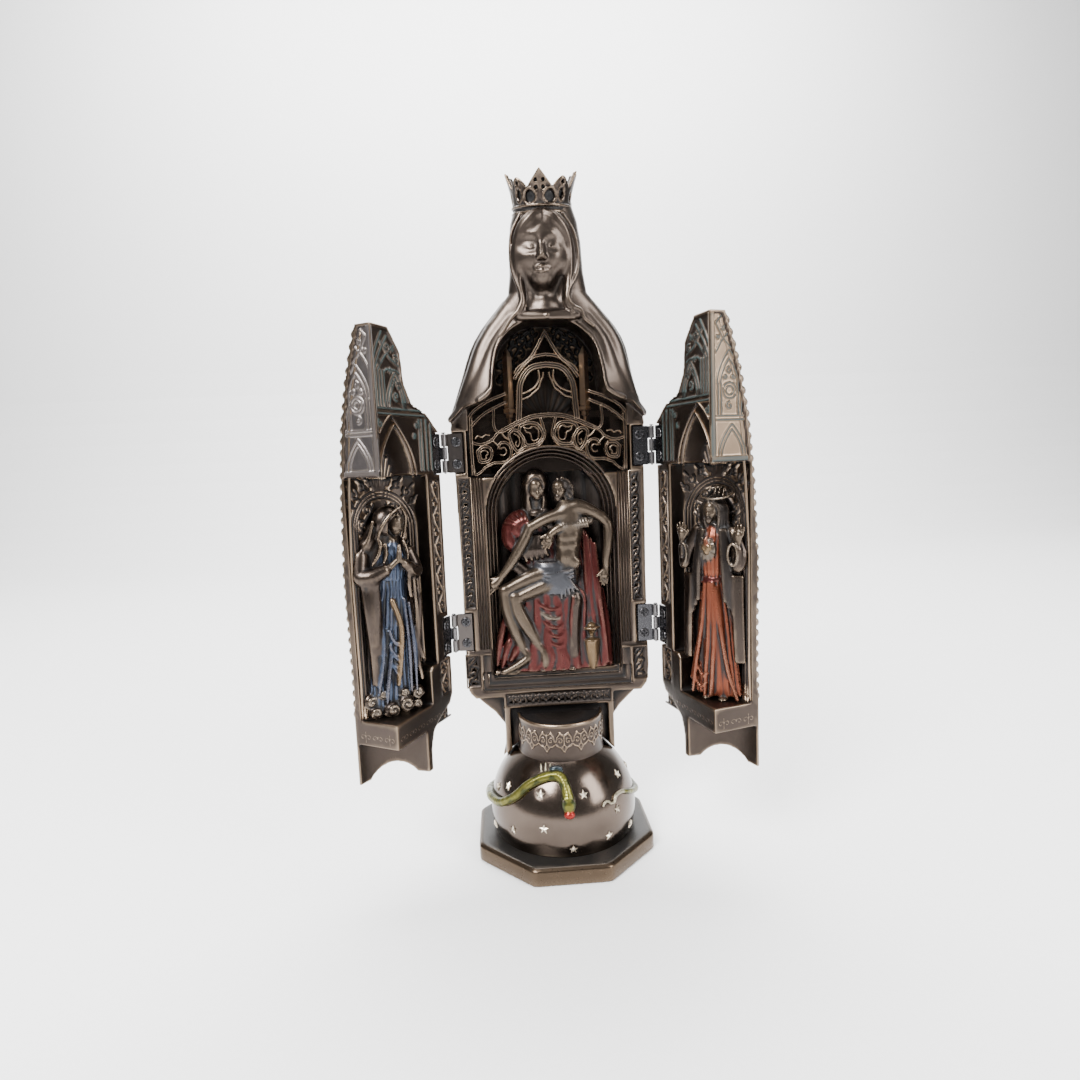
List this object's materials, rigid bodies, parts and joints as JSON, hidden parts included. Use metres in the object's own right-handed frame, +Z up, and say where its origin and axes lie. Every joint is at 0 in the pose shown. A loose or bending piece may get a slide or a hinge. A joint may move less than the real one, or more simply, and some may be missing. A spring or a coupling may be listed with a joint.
{
  "type": "triptych altarpiece",
  "caption": "Opening statuette of a crowned Virgin on a starred globe; the hinged front doors show a carved niche with a Pieta and a standing figure on each side.",
  "frame": {"origin": "centre of the octagonal base's underside", "axes": "+Z up, the front looks along -Y, +X to the viewer's right"},
  "size_m": [0.1636, 0.0809, 0.2896],
  "materials": {
    "bronze": "bronze-finished cast resin, brown-grey with rubbed gold edges",
    "globe_metal": "polished pewter-bronze finish",
    "painted_figures": "hand-painted over bronze: dark red, slate blue, rust orange, antique ivory",
    "hinge_black": "blackened brass with worn grey knuckles",
    "screw_steel": "darkened steel with bright worn edges"
  },
  "bodies": {
    "statue": {"plinth": "globe_metal", "statue_body": "bronze", "tracery_screen": "bronze", "pieta_group": "painted_figures", "left_upper_leaf_body": "hinge_black", "left_upper_pin": "screw_steel", "left_upper_screw_body_1": "screw_steel", "left_upper_screw_body_2": "screw_steel", "left_lower_leaf_body": "hinge_black", "left_lower_pin": "screw_steel", "left_lower_screw_body_1": "screw_steel", "left_lower_screw_body_2": "screw_steel", "right_upper_leaf_body": "hinge_black", "right_upper_pin": "screw_steel", "right_upper_screw_body_1": "screw_steel", "right_upper_screw_body_2": "screw_steel", "right_lower_leaf_body": "hinge_black", "right_lower_pin": "screw_steel", "right_lower_screw_body_1": "screw_steel", "right_lower_screw_body_2": "screw_steel"},
    "left_wing": {"left_door": "bronze", "praying_virgin": "painted_figures", "left_upper_leaf_door": "hinge_black", "left_upper_screw_door_1": "screw_steel", "left_upper_screw_door_2": "screw_steel", "left_lower_leaf_door": "hinge_black", "left_lower_screw_door_1": "screw_steel", "left_lower_screw_door_2": "screw_steel"},
    "right_wing": {"right_door": "bronze", "heart_figure": "painted_figures", "right_upper_leaf_door": "hinge_black", "right_upper_screw_door_1": "screw_steel", "right_upper_screw_door_2": "screw_steel", "right_lower_leaf_door": "hinge_black", "right_lower_screw_door_1": "screw_steel", "right_lower_screw_door_2": "screw_steel"}
  },
  "joints": [
    {"name": "left_door_hinge", "type": "hinge", "parent": "statue", "child": "left_wing", "pos_m": [-0.0448, 0, 0.136], "axis": [0, 0, 1], "range_deg": [-52, 117.4]},
    {"name": "right_door_hinge", "type": "hinge", "parent": "statue", "child": "right_wing", "pos_m": [0.0448, 0, 0.136], "axis": [0, 0, 1], "range_deg": [-106.1, 63.4]}
  ]
}
